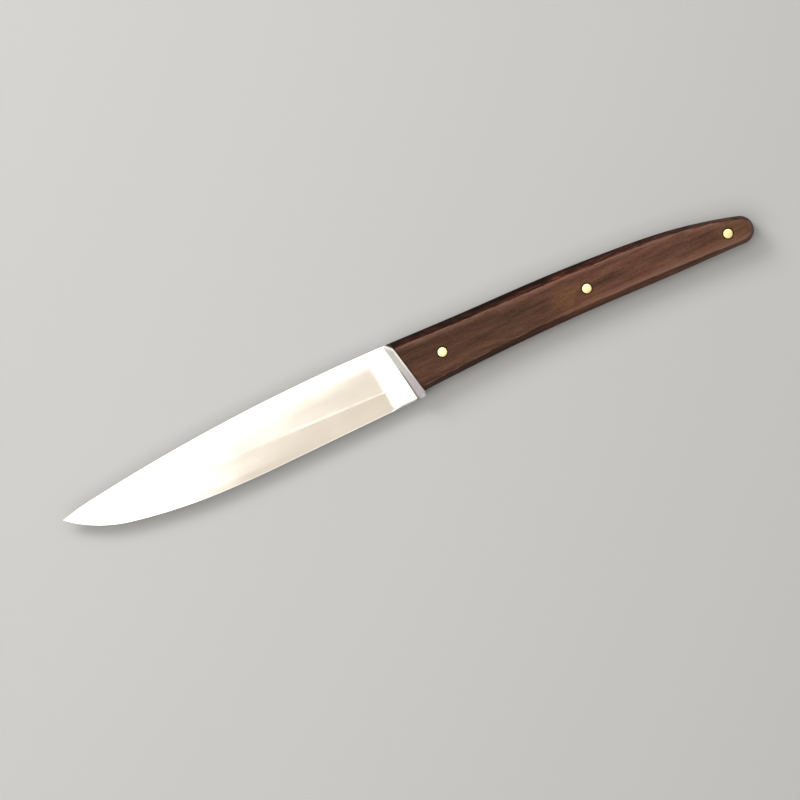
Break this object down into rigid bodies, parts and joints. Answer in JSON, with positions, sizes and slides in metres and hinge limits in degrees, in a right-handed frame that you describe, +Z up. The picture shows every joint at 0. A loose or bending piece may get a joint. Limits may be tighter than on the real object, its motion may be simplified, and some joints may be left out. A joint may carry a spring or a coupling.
{
  "type": "paring knife",
  "caption": "Slim paring knife: pointed steel blade with a sloped shoulder and full tang, faceted dark wood handle scales and flush brass pins, lying on its side.",
  "frame": {"origin": "middle of the underside of the knife's box as it lies on its side, on the surface that it rests on", "axes": "+X from the blade's tip to the handle's butt, +Y from the cutting edge to the spine, +Z up, square to the side of the blade"},
  "size_m": [0.22, 0.0216, 0.0096],
  "materials": {
    "steel": "satin polish with fine lines across the blade",
    "wood": "dark red-brown hardwood, oiled, fine straight grain along the handle",
    "brass": "filed flush and polished",
    "glue": "dark cured glue"
  },
  "bodies": {
    "root": {"blade": "steel", "upper_scale": "wood", "lower_scale": "wood", "upper_bedding": "glue", "lower_bedding": "glue", "front_pin": "brass", "middle_pin": "brass", "rear_pin": "brass"}
  },
  "joints": []
}
